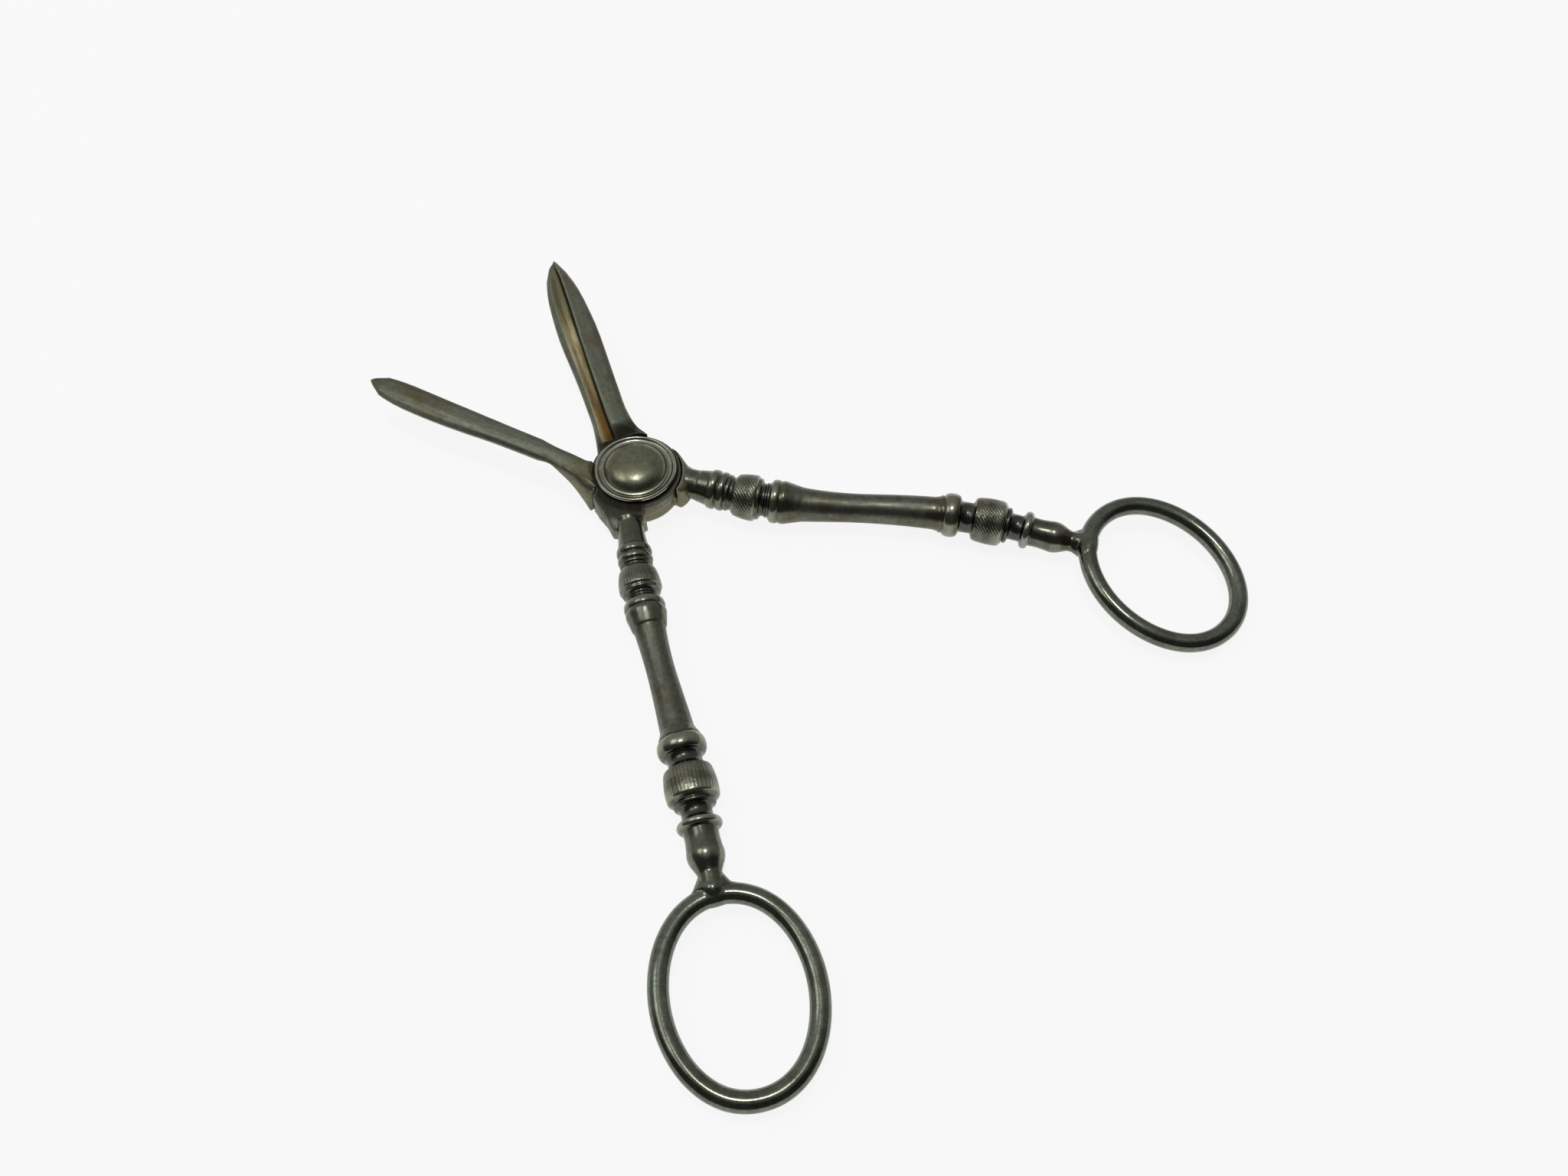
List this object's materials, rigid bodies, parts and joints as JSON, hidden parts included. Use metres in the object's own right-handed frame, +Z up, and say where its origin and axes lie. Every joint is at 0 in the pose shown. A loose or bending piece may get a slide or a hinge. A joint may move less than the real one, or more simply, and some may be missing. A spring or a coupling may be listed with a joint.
{
  "type": "grape shears",
  "caption": "Table grape shears: a stepped, fluted blade and a plain blade that nests in it, on a domed pivot screw, with turned baluster handles and oval finger rings.",
  "frame": {"origin": "on the pivot axis, at the flat underside of the pivot nut", "axes": "+Z up along the pivot axis, away from the table; +X to the right and +Y away from the viewer as the open shears lie"},
  "size_m": [0.1697, 0.1703, 0.0111],
  "materials": {
    "satin_plate": "satin, tarnished grey-green",
    "stained_plate": "satin, khaki stain in the channel",
    "tarnished_plate": "turned, tarnished, dark in the grooves",
    "dark_wire": "polished, dark tarnish",
    "screw_plate": "satin, worn dome",
    "bright_plate": "worn bright at the rim"
  },
  "bodies": {
    "plain_arm": {"plain_blade": "satin_plate", "plain_arm_stem": "tarnished_plate", "plain_arm_ring": "dark_wire", "pivot_screw": "screw_plate", "pivot_washer": "bright_plate", "pivot_nut": "screw_plate"},
    "fluted_arm": {"fluted_blade": "stained_plate", "fluted_arm_stem": "tarnished_plate", "fluted_arm_ring": "dark_wire"}
  },
  "joints": [
    {"name": "pivot_hinge", "type": "hinge", "parent": "plain_arm", "child": "fluted_arm", "pos_m": [0, 0, 0], "axis": [0, 0, 1], "range_deg": [0, 45]}
  ]
}
